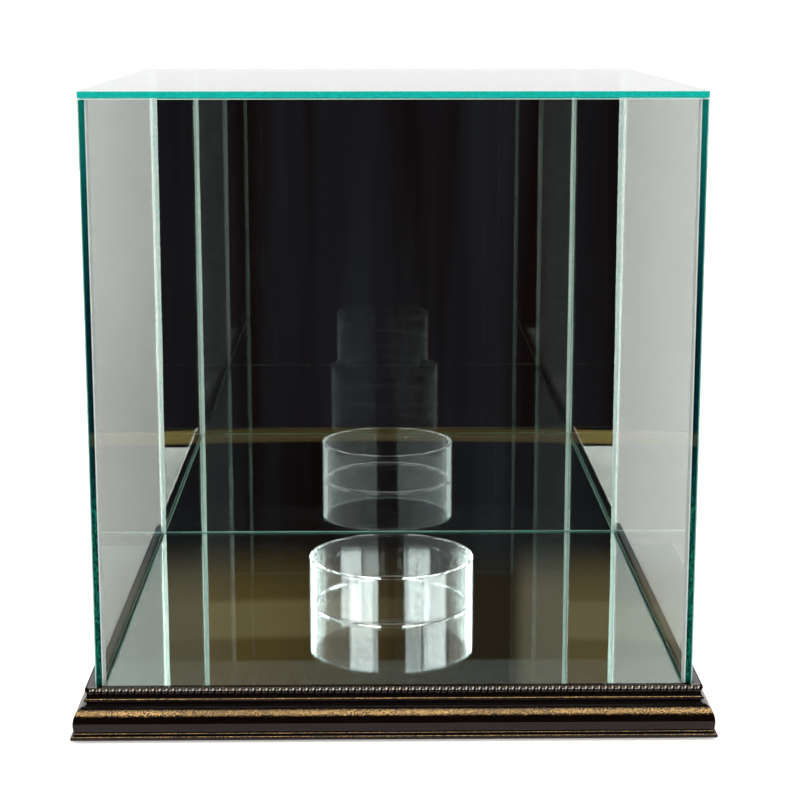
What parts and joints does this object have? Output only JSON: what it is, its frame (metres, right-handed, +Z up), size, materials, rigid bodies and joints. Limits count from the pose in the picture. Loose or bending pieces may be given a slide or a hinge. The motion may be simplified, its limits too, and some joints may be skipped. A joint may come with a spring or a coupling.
{
  "type": "ball display case",
  "caption": "Square glass display case for one ball: mirrored back and floor, moulded dark bronze base, lift-off glass cover and a clear ring that the ball rests on.",
  "frame": {"origin": "centre of the case in plan, on the plane its felt pads stand on", "axes": "+Z up, -Y to the front, the mirrored back on +Y, +X to the viewer's right"},
  "size_m": [0.308, 0.308, 0.3061],
  "materials": {
    "bronze_lacquer": "gloss",
    "board": "matte",
    "steel": "satin",
    "mounting_tape": "matte",
    "felt": "matte",
    "mirror": "polished",
    "clear_glass": "polished",
    "clear_acrylic": "polished"
  },
  "bodies": {
    "base": {"moulding_front": "bronze_lacquer", "moulding_right": "bronze_lacquer", "moulding_back": "bronze_lacquer", "moulding_left": "bronze_lacquer", "v_nail_1": "steel", "v_nail_2": "steel", "v_nail_3": "steel", "v_nail_4": "steel", "v_nail_5": "steel", "v_nail_6": "steel", "v_nail_7": "steel", "v_nail_8": "steel", "deck_board": "board", "deck_pin_1": "steel", "deck_pin_2": "steel", "deck_pin_3": "steel", "deck_pin_4": "steel", "deck_pin_5": "steel", "deck_pin_6": "steel", "deck_pin_7": "steel", "deck_pin_8": "steel", "tape_left": "mounting_tape", "tape_right": "mounting_tape", "mirror_floor": "mirror", "pad_1": "felt", "pad_2": "felt", "pad_3": "felt", "pad_4": "felt"},
    "cover": {"top_glass": "clear_glass", "front_glass": "clear_glass", "left_glass": "clear_glass", "right_glass": "clear_glass", "back_mirror": "mirror"},
    "riser": {"riser_ring": "clear_acrylic"}
  },
  "joints": [
    {"name": "cover_lift", "type": "slide", "parent": "base", "child": "cover", "axis": [0, 0, 1], "range_m": [0, 0.3]},
    {"name": "riser_lift", "type": "slide", "parent": "base", "child": "riser", "axis": [0, 0, 1], "range_m": [0, 0.2]}
  ]
}
